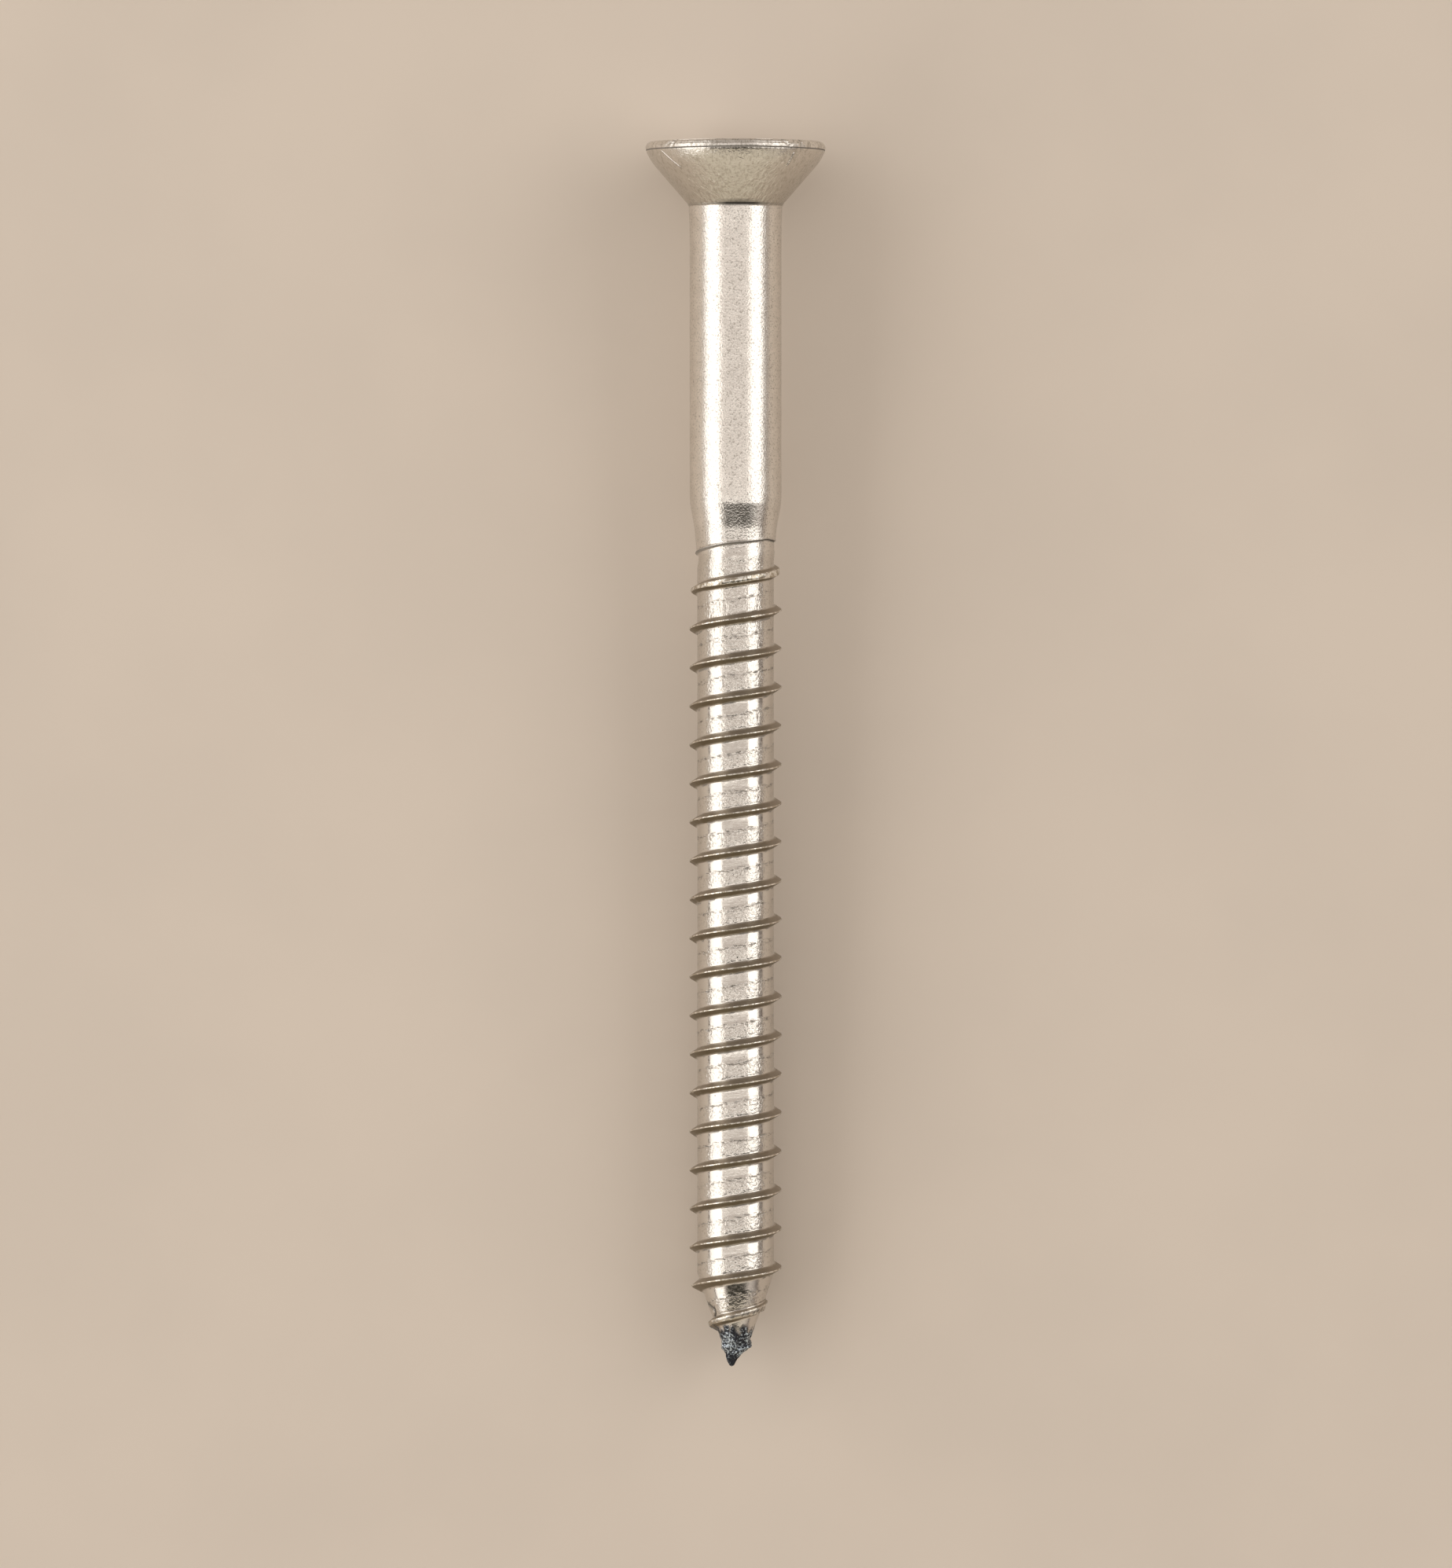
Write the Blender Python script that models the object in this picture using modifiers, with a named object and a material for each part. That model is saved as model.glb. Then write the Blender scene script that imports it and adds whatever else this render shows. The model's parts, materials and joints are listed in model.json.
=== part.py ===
"""Countersunk wood screw, No. 12 x 3 in, right-handed, with a cross recess.

A wood screw is one piece of steel: the head is cold-formed and the thread is rolled on the same
blank. The screw is drawn standing on its point below the origin, head up, and an empty turns it
so that its axis lies along Y, head towards +Y. The origin is the centre of the head's top face.
"""

import math

import bmesh
import bpy

MM = 0.001
INCH = 25.4 * MM

# Head: a flat countersunk head with an 82 degree cone under a short cylindrical rim.
HEAD_RADIUS = 5.395 * MM
RIM_HEIGHT = 0.52 * MM
RIM_ROUND = 0.2 * MM
CONE_HALF_ANGLE = math.radians(41)
CONE_TOP_RADIUS = 5.2 * MM
CONE_TOP_DEPTH = 0.96 * MM
NECK_FILLET = 0.5 * MM

# Shank: the plain cylinder, and the shoulder down to the thread's root.
SHANK_RADIUS = 0.108 * INCH
ROOT_RADIUS = 2.285 * MM
SHOULDER = ((20.8, 1.0), (21.9, 0.86), (22.4, 0.64), (22.9, 0.46), (23.6, 0.3), (24.4, 0.14), (25.0, 0.0))

# Point: where the parallel root ends, how far it bulges over a straight cone, and the blunt tip.
LENGTH = 73.1 * MM
POINT_START = 67.5 * MM
TIP_RADIUS = 0.1 * MM
POINT_BULGE = 0.12 * MM
POINT_STEPS = 8

# Thread: a single right-hand start of 11 turns to the inch, counted from where its crest
# crosses +X for the first time at full depth.
PITCH = INCH / 11
FIRST_CREST_DEPTH = 25.58 * MM
THREAD_HEIGHT = 0.475 * MM
CREST_WIDTH = 0.08 * MM
FLANK_ANGLE = math.radians(30)
BURIED = 0.1 * MM
THREAD_TURNS = (
    (-0.75, 0.05),
    (-0.5, 0.12),
    (0.0, 0.7),
    (0.5, 0.8),
    (1.0, 1.0),
    (18.0, 1.0),
    (18.5, 1.3),
    (19.0, 0.4),
    (19.5, 0.75),
    (20.0, 0.35),
    (20.25, 0.05),
)

# Cross recess, size 3.
RECESS_SPAN = 6.7 * MM
RECESS_FLOOR_SPAN = 2.4 * MM
RECESS_DEPTH = 3.3 * MM
WING_WIDTH = 1.35 * MM
WING_FLOOR_WIDTH = 0.95 * MM
CORE_RADIUS = 1.5 * MM
CORE_FLOOR_RADIUS = 0.35 * MM
CORE_DEPTH = 3.8 * MM
OVERSHOOT = 0.4 * MM

STEPS_PER_TURN = 24
SMOOTH_UNDER = math.radians(24)


def clear_scene():
    for obj in list(bpy.data.objects):
        bpy.data.objects.remove(obj, do_unlink=True)


def new_collection(name):
    collection = bpy.data.collections.new(name)
    bpy.context.scene.collection.children.link(collection)
    return collection


def steel_material():
    material = bpy.data.materials.new("stainless_steel")
    material.use_nodes = True
    shader = material.node_tree.nodes["Principled BSDF"]
    shader.inputs["Base Color"].default_value = (0.63, 0.6, 0.56, 1.0)
    shader.inputs["Metallic"].default_value = 1.0
    shader.inputs["Roughness"].default_value = 0.3
    return material


def between(pairs, at):
    """The value at a place on a rising list of (place, value), eased between its entries."""
    if at <= pairs[0][0]:
        return pairs[0][1]
    for (low, first), (high, last) in zip(pairs, pairs[1:]):
        if at <= high:
            share = (at - low) / (high - low)
            share = share * share * (3 - 2 * share)
            return first + (last - first) * share
    return pairs[-1][1]


def arc(centre, radius, start, end, steps):
    """Points (radius, depth) on an arc; angles run from +radius towards -depth."""
    points = []
    for step in range(steps + 1):
        angle = start + (end - start) * step / steps
        points.append((centre[0] + radius * math.cos(angle), centre[1] - radius * math.sin(angle)))
    return points


def head_outline():
    """The head's outer side as (radius, depth), from the axis down to the shank."""
    rim_centre = (HEAD_RADIUS - RIM_ROUND, RIM_ROUND)
    points = [(0.0, 0.0)]
    points += arc(rim_centre, RIM_ROUND, math.pi / 2, 0.0, 3)
    points.append((HEAD_RADIUS, RIM_HEIGHT))
    points.append((CONE_TOP_RADIUS, CONE_TOP_DEPTH))
    slope = math.tan(CONE_HALF_ANGLE)
    corner = CONE_TOP_DEPTH + (CONE_TOP_RADIUS - SHANK_RADIUS) / slope
    fillet_end = corner + NECK_FILLET * math.tan(CONE_HALF_ANGLE / 2)
    fillet_centre = (SHANK_RADIUS + NECK_FILLET, fillet_end)
    points += arc(fillet_centre, NECK_FILLET, math.pi - CONE_HALF_ANGLE, math.pi, 3)
    return points


def point_radius(depth):
    """Radius of the root on the point: a cone that bulges a little, to the blunt tip."""
    share = min(max((depth - POINT_START) / (LENGTH - POINT_START), 0.0), 1.0)
    straight = ROOT_RADIUS + (TIP_RADIUS - ROOT_RADIUS) * share
    return straight + POINT_BULGE * math.sin(math.pi * share)


def root_radius(depth):
    """Radius of the solid under the thread at a depth below the head."""
    if depth > POINT_START:
        return point_radius(depth)
    shoulder = between(SHOULDER, depth / MM)
    return ROOT_RADIUS + (SHANK_RADIUS - ROOT_RADIUS) * shoulder


def screw_outline():
    points = head_outline()
    for depth, _ in SHOULDER:
        points.append((root_radius(depth * MM), depth * MM))
    for step in range(POINT_STEPS + 1):
        depth = POINT_START + (LENGTH - POINT_START) * step / POINT_STEPS
        points.append((point_radius(depth), depth))
    points.append((0.0, LENGTH))
    return points


def turned_body(collection):
    outline = screw_outline()
    mesh = bpy.data.meshes.new("turned_body")
    corners = [(radius, 0.0, -depth) for radius, depth in outline]
    edges = [(index, index + 1) for index in range(len(corners) - 1)]
    mesh.from_pydata(corners, edges, [])
    body = bpy.data.objects.new("turned_body", mesh)
    collection.objects.link(body)
    turn = body.modifiers.new("turn", "SCREW")
    turn.axis = "Z"
    turn.angle = 2 * math.pi
    turn.steps = STEPS_PER_TURN
    turn.render_steps = STEPS_PER_TURN
    turn.use_merge_vertices = True
    turn.merge_threshold = 0.001 * MM
    return body


def thread_section(collection):
    """The ridge's cross-section: X points away from the screw's axis and Y runs along it."""
    crest = CREST_WIDTH / 2
    foot = crest + (THREAD_HEIGHT + BURIED) * math.tan(FLANK_ANGLE)
    corners = ((-BURIED, -foot), (THREAD_HEIGHT, -crest), (THREAD_HEIGHT, crest), (-BURIED, foot))
    curve = bpy.data.curves.new("thread_section", "CURVE")
    curve.dimensions = "2D"
    spline = curve.splines.new("POLY")
    spline.points.add(len(corners) - 1)
    for point, (x, y) in zip(spline.points, corners):
        point.co = (x, y, 0.0, 1.0)
    spline.use_cyclic_u = True
    section = bpy.data.objects.new("thread_section", curve)
    collection.objects.link(section)
    hide_helper(section)
    return section


def thread_curve(section, collection):
    """The ridge as a helix that climbs out of the shoulder and dies away on the point."""
    first = THREAD_TURNS[0][0]
    last = THREAD_TURNS[-1][0]
    count = round((last - first) * STEPS_PER_TURN)
    curve = bpy.data.curves.new("thread", "CURVE")
    curve.dimensions = "3D"
    curve.twist_mode = "Z_UP"
    curve.bevel_mode = "OBJECT"
    curve.bevel_object = section
    curve.use_fill_caps = True
    spline = curve.splines.new("POLY")
    spline.points.add(count)
    for index, point in enumerate(spline.points):
        turn = last - (last - first) * index / count
        angle = -2 * math.pi * turn
        depth = FIRST_CREST_DEPTH + PITCH * turn
        radius = root_radius(depth)
        point.co = (radius * math.cos(angle), radius * math.sin(angle), -depth, 1.0)
        point.radius = between(THREAD_TURNS, turn)
    ridge = bpy.data.objects.new("thread", curve)
    collection.objects.link(ridge)
    return ridge


def as_mesh(curve_object, collection):
    """The curve as a mesh object with its caps welded, so that it can join the body."""
    graph = bpy.context.evaluated_depsgraph_get()
    mesh = bpy.data.meshes.new_from_object(curve_object.evaluated_get(graph))
    shape = bmesh.new()
    shape.from_mesh(mesh)
    bmesh.ops.remove_doubles(shape, verts=shape.verts, dist=0.001 * MM)
    bmesh.ops.recalc_face_normals(shape, faces=shape.faces)
    shape.to_mesh(mesh)
    shape.free()
    name = curve_object.name
    made = bpy.data.objects.new(name + "_ridge", mesh)
    made.matrix_world = curve_object.matrix_world
    bpy.data.objects.remove(curve_object, do_unlink=True)
    collection.objects.link(made)
    hide_helper(made)
    return made


def recess_wing(name, turned, collection):
    """A bar across the recess that narrows towards its floor, turned about the screw's axis."""
    shape = bmesh.new()
    bmesh.ops.create_cube(shape, size=1.0)
    for vertex in shape.verts:
        top = vertex.co.z > 0
        vertex.co.x *= RECESS_SPAN if top else RECESS_FLOOR_SPAN
        vertex.co.y *= WING_WIDTH if top else WING_FLOOR_WIDTH
        vertex.co.z = 0.0 if top else -RECESS_DEPTH
    stretch = 1 + OVERSHOOT / RECESS_DEPTH
    for vertex in shape.verts:
        if vertex.co.z == 0.0:
            vertex.co.x = vertex.co.x / abs(vertex.co.x) * widened(RECESS_SPAN, RECESS_FLOOR_SPAN, stretch)
            vertex.co.y = vertex.co.y / abs(vertex.co.y) * widened(WING_WIDTH, WING_FLOOR_WIDTH, stretch)
            vertex.co.z = OVERSHOOT
    return cutter_from(shape, name, turned, collection)


def widened(top, floor, stretch):
    """Half the width where a taper from floor to top is carried on above the face."""
    return (floor + (top - floor) * stretch) / 2


def recess_core(collection):
    """The round middle of the recess, a little deeper than its wings."""
    shape = bmesh.new()
    bmesh.ops.create_cone(
        shape,
        cap_ends=True,
        segments=16,
        radius1=CORE_FLOOR_RADIUS,
        radius2=CORE_RADIUS,
        depth=CORE_DEPTH + OVERSHOOT,
    )
    bmesh.ops.translate(shape, verts=shape.verts, vec=(0.0, 0.0, (OVERSHOOT - CORE_DEPTH) / 2))
    return cutter_from(shape, "recess_core", 0.0, collection)


def cutter_from(shape, name, turned, collection):
    mesh = bpy.data.meshes.new(name)
    shape.to_mesh(mesh)
    shape.free()
    cutter = bpy.data.objects.new(name, mesh)
    cutter.rotation_euler.z = turned
    collection.objects.link(cutter)
    hide_helper(cutter)
    return cutter


def hide_helper(obj):
    obj.hide_render = True
    obj.display_type = "WIRE"


def combine(body, operation, other):
    modifier = body.modifiers.new(other.name, "BOOLEAN")
    modifier.operation = operation
    modifier.solver = "EXACT"
    modifier.object = other


def finished_screw(body, collection):
    """The body with its modifiers made real, smooth except at its sharp edges."""
    bpy.context.view_layer.update()
    graph = bpy.context.evaluated_depsgraph_get()
    mesh = bpy.data.meshes.new_from_object(body.evaluated_get(graph))
    mesh.name = "wood_screw"
    mesh.materials.clear()
    mesh.materials.append(steel_material())
    mesh.shade_smooth()
    mesh.set_sharp_from_angle(angle=SMOOTH_UNDER)
    screw = bpy.data.objects.new("wood_screw", mesh)
    collection.objects.link(screw)
    return screw


def lying_axis(collection):
    """An empty at the head's centre that lays the upright screw along Y."""
    empty = bpy.data.objects.new("screw_axis", None)
    empty.rotation_euler.x = -math.pi / 2
    collection.objects.link(empty)
    return empty


def main():
    clear_scene()
    parts = new_collection("wood_screw")
    cutters = new_collection("cutters")
    body = turned_body(cutters)
    hide_helper(body)
    ridge = as_mesh(thread_curve(thread_section(cutters), cutters), cutters)
    combine(body, "UNION", ridge)
    combine(body, "DIFFERENCE", recess_wing("recess_wing_a", 0.0, cutters))
    combine(body, "DIFFERENCE", recess_wing("recess_wing_b", math.pi / 2, cutters))
    combine(body, "DIFFERENCE", recess_core(cutters))
    screw = finished_screw(body, parts)
    screw.parent = lying_axis(parts)


main()
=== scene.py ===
"""Looks of a countersunk wood screw that lies on a pale table.

The screw's axis runs along Y, head towards +Y, and the origin is the centre of the head's top
face. Lengths are in millimetres until a point is stored. A place on the skin is given by its
depth below the head's top face and by its angle about the axis, from +X towards +Z.
"""

import json
import math
import random

import bpy
from mathutils import Matrix, Vector, noise

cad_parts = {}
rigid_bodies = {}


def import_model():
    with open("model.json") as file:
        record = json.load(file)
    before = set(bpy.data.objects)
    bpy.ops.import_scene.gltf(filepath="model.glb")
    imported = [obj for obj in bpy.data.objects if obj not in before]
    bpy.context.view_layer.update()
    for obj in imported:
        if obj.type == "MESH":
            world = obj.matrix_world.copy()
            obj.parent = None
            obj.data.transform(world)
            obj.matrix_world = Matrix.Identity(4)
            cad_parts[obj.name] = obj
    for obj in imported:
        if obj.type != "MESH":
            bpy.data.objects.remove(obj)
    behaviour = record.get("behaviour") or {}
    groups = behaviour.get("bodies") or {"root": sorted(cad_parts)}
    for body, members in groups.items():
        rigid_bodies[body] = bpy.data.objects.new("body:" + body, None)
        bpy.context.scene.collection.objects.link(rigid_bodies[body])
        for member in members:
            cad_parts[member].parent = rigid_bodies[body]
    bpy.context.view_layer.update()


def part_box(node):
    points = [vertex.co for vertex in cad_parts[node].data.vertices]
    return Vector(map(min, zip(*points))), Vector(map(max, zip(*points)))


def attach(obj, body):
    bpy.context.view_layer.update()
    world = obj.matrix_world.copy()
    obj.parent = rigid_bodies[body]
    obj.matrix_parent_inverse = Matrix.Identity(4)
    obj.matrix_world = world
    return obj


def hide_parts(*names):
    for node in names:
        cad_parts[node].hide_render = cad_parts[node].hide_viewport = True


for item in list(bpy.data.objects):
    bpy.data.objects.remove(item)

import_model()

MM = 0.001
NODE = "wood_screw"
node_low, node_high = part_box(NODE)

# Sizes that the frame gives.
HEAD_RADIUS = node_high.x / MM
LENGTH = -node_low.y / MM

# Head.
RIM_TOP_RADIUS = HEAD_RADIUS - 0.2
RIM_BOTTOM = 0.46
CONE_TOP_DEPTH = 0.96
CONE_TOP_RADIUS = HEAD_RADIUS - 0.195
CONE_SLOPE = math.tan(math.radians(41))
SHANK_RADIUS = 2.743
NECK_DEPTH = CONE_TOP_DEPTH + (CONE_TOP_RADIUS - SHANK_RADIUS) / CONE_SLOPE
NECK_FLARE = 0.05
NECK_FLARE_LENGTH = 0.6
CREASE_ANGLE = math.radians(84)

# Cross recess: half spans and half widths at the face and at the floor.
RECESS_SPAN = (3.35, 1.2)
RECESS_WIDTH = (0.675, 0.475)
RECESS_DEPTH = 3.3
RECESS_POINT = 3.8

# Shank and shoulder: share of the step from root radius to shank radius at each depth.
ROOT_RADIUS = 2.285
SHOULDER = ((21.0, 1.0), (21.55, 0.955), (23.0, 0.37), (24.2, 0.15), (25.0, 0.0))

# Thread: turns are counted from where the crest first crosses +X at full depth.
PITCH = 25.4 / 11
FIRST_CREST = 25.58
RIDGE_HEIGHT = 0.475
FLANK_SLOPE = math.tan(math.radians(31))
CREST_HALF = 0.032
HEIGHT_AT_TURN = (
    (-1.05, 0.0),
    (-0.5, 0.12),
    (-0.25, 0.4),
    (0.0, 0.7),
    (0.5, 0.78),
    (1.0, 1.0),
    (18.3, 1.0),
    (18.5, 1.25),
    (18.75, 0.7),
    (19.0, 0.36),
    (19.5, 0.85),
    (20.0, 0.32),
    (20.3, 0.0),
)
FLAT_AT_TURN = (
    (-1.05, CREST_HALF),
    (-0.25, 0.12),
    (0.0, 0.18),
    (0.25, 0.16),
    (0.5, 0.08),
    (1.0, CREST_HALF),
    (18.6, CREST_HALF),
    (18.95, 0.21),
    (19.5, 0.1),
    (20.3, CREST_HALF),
)
LIP_SHIFT_AT_TURN = ((-1.0, 0.5), (-0.875, 0.16), (-0.7, 0.03), (-0.5, 0.1), (-0.25, 0.0))

# Point.
POINT_START = 67.5
TIP_RADIUS = 0.09
POINT_BULGE = 0.12
BREAK_START = 70.5
KNOB_DEPTH = 71.95

# The skin's grid: its seam lies underneath, and thread rows follow the helix.
SEAM = -math.pi / 2
COLUMNS = 96
HEAD_COLUMNS = 3 * COLUMNS
HALF_PITCH = PITCH / 2
CREST_STEPS = (0.03, 0.055, 0.11, 0.17, 0.23, 0.28, 0.32, 0.36, 0.43)
GROUND_STEPS = (0.55, 0.7, 0.85, 0.96, 1.04, 1.09, 1.125)
ROW_STEPS = CREST_STEPS + GROUND_STEPS
ROWS = tuple(-step for step in (HALF_PITCH,) + ROW_STEPS[::-1]) + (0.0,) + ROW_STEPS
FIRST_TURN = -1.25
THREAD_TURNS = 21


def clamp(value):
    return min(max(value, 0.0), 1.0)


def ease(start, end, value):
    """0 before start, 1 after end, and a smooth step between them."""
    share = clamp((value - start) / (end - start))
    return share * share * (3 - 2 * share)


def between(pairs, at):
    """The value at a place on a rising list of (place, value), eased between its entries."""
    if at <= pairs[0][0]:
        return pairs[0][1]
    for (low, first), (high, last) in zip(pairs, pairs[1:]):
        if at <= high:
            return first + (last - first) * ease(low, high, at)
    return pairs[-1][1]


def straight_between(pairs, at):
    """The value at a place on a rising list of (place, value), straight between its entries."""
    for (low, first), (high, last) in zip(pairs, pairs[1:]):
        if at <= high:
            return first + (last - first) * clamp((at - low) / (high - low))
    return pairs[-1][1]


def half_turn(angle):
    """The same angle, between minus and plus half a turn."""
    return (angle + math.pi) % (2 * math.pi) - math.pi


def hump(offset, width):
    """1 at offset 0, falling to 0 at about two widths."""
    return math.exp(-((offset / width) ** 2))


def soft_max(a, b, blend):
    """The larger of two values, with their meeting rounded over blend."""
    near = max(blend - abs(a - b), 0.0) / blend
    return max(a, b) + near * near * blend / 4


def grain(depth, angle, size, seed=0.0):
    """Smooth noise from -1 to 1 on the skin, with lumps of the given size."""
    around = Vector((math.cos(angle) * 2.5, depth, math.sin(angle) * 2.5))
    return noise.noise(around / size + Vector((seed * 17.3, seed * 5.1, seed * 9.7)))


def point_radius(depth):
    share = clamp((depth - POINT_START) / (LENGTH - POINT_START))
    return ROOT_RADIUS + (TIP_RADIUS - ROOT_RADIUS) * share + POINT_BULGE * math.sin(math.pi * share)


def root_radius(depth):
    if depth > POINT_START:
        return point_radius(depth)
    share = sum(straight_between(SHOULDER, depth + 0.12 * step) for step in (-1, 0, 1)) / 3
    return ROOT_RADIUS + (SHANK_RADIUS - ROOT_RADIUS) * share


def waves(depth, angle):
    """The slight unevenness of the whole skin below the head."""
    return 0.008 * grain(depth, angle, 2.2, 14) + 0.003 * grain(depth, angle, 0.8, 15)


def crest_depth(turn):
    return FIRST_CREST + PITCH * turn


def nearest_turn(depth, angle):
    """The turn of the crest that is nearest in depth at this angle."""
    part = angle / (2 * math.pi)
    return round((depth - FIRST_CREST) / PITCH - part) + part


def lap_wander(turn):
    """How far the seam near the middle of the root strays from it, below the crest at this turn."""
    along = turn * 2 * math.pi * ROOT_RADIUS
    slow = noise.noise(Vector((along / 1.1, 4.0, 0.0)))
    quick = noise.noise(Vector((along / 0.4, 9.0, 0.0)))
    return (0.17 * slow + 0.08 * quick - 0.08) * ease(-1.2, -0.4, turn) * (1 - ease(17.6, 18.4, turn))


def lap_strength(turn):
    """How open the seam is: it comes and goes along the helix."""
    along = turn * 2 * math.pi * ROOT_RADIUS
    patches = 0.65 + 1.8 * noise.noise(Vector((along / 1.1, 21.0, 3.0)))
    breaks = 0.6 + 2.0 * noise.noise(Vector((along / 0.3, 31.0, 5.0)))
    return clamp(patches) * clamp(breaks) * ease(-0.6, 0.3, turn) * (1 - ease(18.0, 18.6, turn))


def ridge_height(turn):
    along = turn * 2 * math.pi * SHANK_RADIUS
    ragged = 0.012 * noise.noise(Vector((along / 0.4, 1.0, 7.0)))
    ragged += 0.014 * noise.noise(Vector((along / 1.7, 3.0, 2.0)))
    whole = ease(-0.5, 0.5, turn) * (1 - ease(19.6, 20.2, turn))
    return between(HEIGHT_AT_TURN, turn) * RIDGE_HEIGHT + ragged * whole


def crest_half(turn):
    along = turn * 2 * math.pi * SHANK_RADIUS
    ragged = 0.018 * noise.noise(Vector((along / 0.45, 11.0, 1.0)))
    burr = ease(0.45, 0.7, noise.noise(Vector((along / 0.9, 14.0, 6.0))))
    return between(FLAT_AT_TURN, turn) + ragged + 0.03 * burr


def ridge(phase, turn):
    """Height of the thread above its root, at a distance along the axis from the crest."""
    height = ridge_height(turn)
    if height <= 0.0:
        return 0.0
    flat = crest_half(turn)
    beyond = abs(phase) - flat
    if beyond <= 0.0:
        lips = ease(0.08, 0.16, flat) * ease(0.45, 1.0, abs(phase) / flat)
        return height + (0.055 if turn > 18 else 0.008) * lips
    return soft_max(height - beyond / FLANK_SLOPE, 0.0, 0.03)


def foot_bead(phase, turn):
    """The small bead that the rolling die leaves below the ridge's lower foot."""
    foot = crest_half(turn) + ridge_height(turn) * FLANK_SLOPE + 0.07
    along = turn * 2 * math.pi * ROOT_RADIUS
    there = ease(-0.1, 0.4, noise.noise(Vector((along / 3.0, 40.0, 8.0))))
    return 0.014 * there * hump(phase - foot, 0.04) * ease(0.6, 1.2, turn) * (1 - ease(18.3, 18.8, turn))


def lip_step(phase, turn):
    """The edge where rolling began: a small burr with a step down below it."""
    here = ease(-1.1, -0.95, turn) * (1 - ease(-0.45, -0.2, turn))
    if here <= 0.0:
        return 0.0
    burr = 0.035 * hump(phase + 0.02, 0.045)
    drop = 0.095 * ease(0.0, 0.04, phase) * (1 - ease(0.1, 0.95, phase))
    folds = 0.022 * math.sin(phase * 34 + 2.2 * math.sin(turn * 37)) * hump(phase - 0.5, 0.2)
    return here * (burr - drop + folds * hump(turn + 0.75, 0.06))


def broken_point(depth, angle):
    """Torn, pinched metal at the end of the point."""
    there = ease(BREAK_START, BREAK_START + 1.2, depth)
    if there <= 0.0:
        return 0.0
    radius = point_radius(depth)
    lumps = 0.1 * grain(depth, angle, 0.6, 1) + 0.07 * grain(depth, angle, 0.26, 2)
    pinch = (0.02 + 0.1 * hump(depth - KNOB_DEPTH, 0.25)) * math.cos(2 * angle)
    knob = 0.09 * hump(depth - KNOB_DEPTH, 0.2)
    return there * (lumps + pinch + knob) * min(radius / 0.5, 1.0)


def crack(depth, angle):
    """A short crack on the -X side of the point, as a share of its full depth."""
    route = ((69.2, 180.0), (69.42, 162.0), (69.6, 145.0), (69.85, 146.0), (70.15, 157.0))
    degrees = math.degrees(angle) % 360
    nearest = 9.0
    for (from_depth, from_angle), (to_depth, to_angle) in zip(route, route[1:]):
        run = Vector((to_depth - from_depth, (to_angle - from_angle) * 0.027))
        here = Vector((depth - from_depth, (degrees - from_angle) * 0.027))
        share = clamp(here.dot(run) / run.dot(run))
        nearest = min(nearest, (here - run * share).length)
    return hump(nearest, 0.07)


def shade_lines_and_groove_darkening(depth, angle, turn, phase, groove):
    """Dark lines of painted shade below the edge where rolling began and along the foot of the ridge's lower
    flank, and darkening in the crest's groove near the point.
    """
    flat = crest_half(turn)
    full = max(ridge_height(turn), 0.02)
    below = phase if phase > 0 else phase + PITCH
    # Painted shade below the burr where rolling began.
    lip_shade_line = hump(phase - 0.035, 0.055) * ease(-1.05, -0.95, turn) * (1 - ease(-0.5, -0.3, turn))
    # Painted shadow along the foot of the ridge's lower flank.
    foot = hump(below - flat - full * FLANK_SLOPE - 0.02, 0.035)
    foot *= ease(0.0, 0.35, grain(depth, angle, 0.5, 5)) * ease(0.4, 1.0, turn)
    foot *= 1 - ease(18.6, 19, turn)
    # Patchy darkening in the groove along the widened crests near the point.
    groove_darkening = 0.85 * groove * ease(0.0, 0.3, grain(depth, angle, 0.3, 16))
    return max(0.95 * lip_shade_line, 0.8 * foot, groove_darkening)


def surface_weights(depth, angle, turn, phase, dark):
    """How much of each kind of surface shows on the thread and beside it."""
    flat = crest_half(turn)
    out = ridge(phase, turn) / max(ridge_height(turn), 0.02)
    beyond = ease(0.0, 0.012, abs(phase) - flat)
    flank = ease(0.06, 0.2, out) * beyond * ease(-0.6, -0.1, turn)
    crest = ease(0.9, 0.97, out) * (1 - beyond) * ease(-0.2, 0.1, turn)
    groove = crest * ease(0.07, 0.14, flat) * (1 - ease(0.3, 0.95, abs(phase) / flat))
    groove *= ease(18.4, 18.8, turn)
    root = ease(24.3, 24.9, depth) * (1 - ease(0.03, 0.15, out))
    below = phase if phase > 0 else phase + PITCH
    rumpled = ease(0.85, 1.1, below) * (1 - ease(1.8, 2.0, below)) * root
    ragged = depth + 0.5 * grain(depth, angle, 0.45, 4)
    return {
        # The groove along the widened crests near the point takes some of the upper flank's painted shade.
        "upper": flank * (phase < 0) + 0.6 * groove,
        "lower": flank * (phase > 0),
        "crest": crest - 0.85 * groove,
        "root": root,
        "rumpled": max(rumpled, 0.8 * (1 - ease(1.5, 3.5, turn)) * root),
        "scored": hump(crest_depth(1.05) + 0.2 - depth, 1.1) * root,
        "seam": hump(below - HALF_PITCH + 0.08, 0.13) * root * ease(0.2, 0.8, turn),
        "torn": ease(BREAK_START + 0.1, BREAK_START + 0.45, ragged),
        "dark": max(dark, shade_lines_and_groove_darkening(depth, angle, turn, phase, groove)),
    }


def skin_at(depth, angle, turn, phase, lap=0.0):
    """Radius of the skin below the head, and how much of each kind of surface shows there."""
    cracked = clamp(1.8 * crack(depth, angle)) if 68.9 < depth < 70.5 else 0.0
    radius = root_radius(depth) + ridge(phase, turn) + foot_bead(phase, turn) + lip_step(phase, turn)
    radius -= 0.03 * lap
    radius -= 0.12 * cracked
    radius += broken_point(depth, angle)
    radius += waves(depth, angle)
    return radius, surface_weights(depth, angle, turn, phase, max(lap, cracked))


def tip_drift(depth):
    """Sideways bend of the last of the point, towards -X."""
    return -0.23 * ease(72.0, 72.8, depth)


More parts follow.
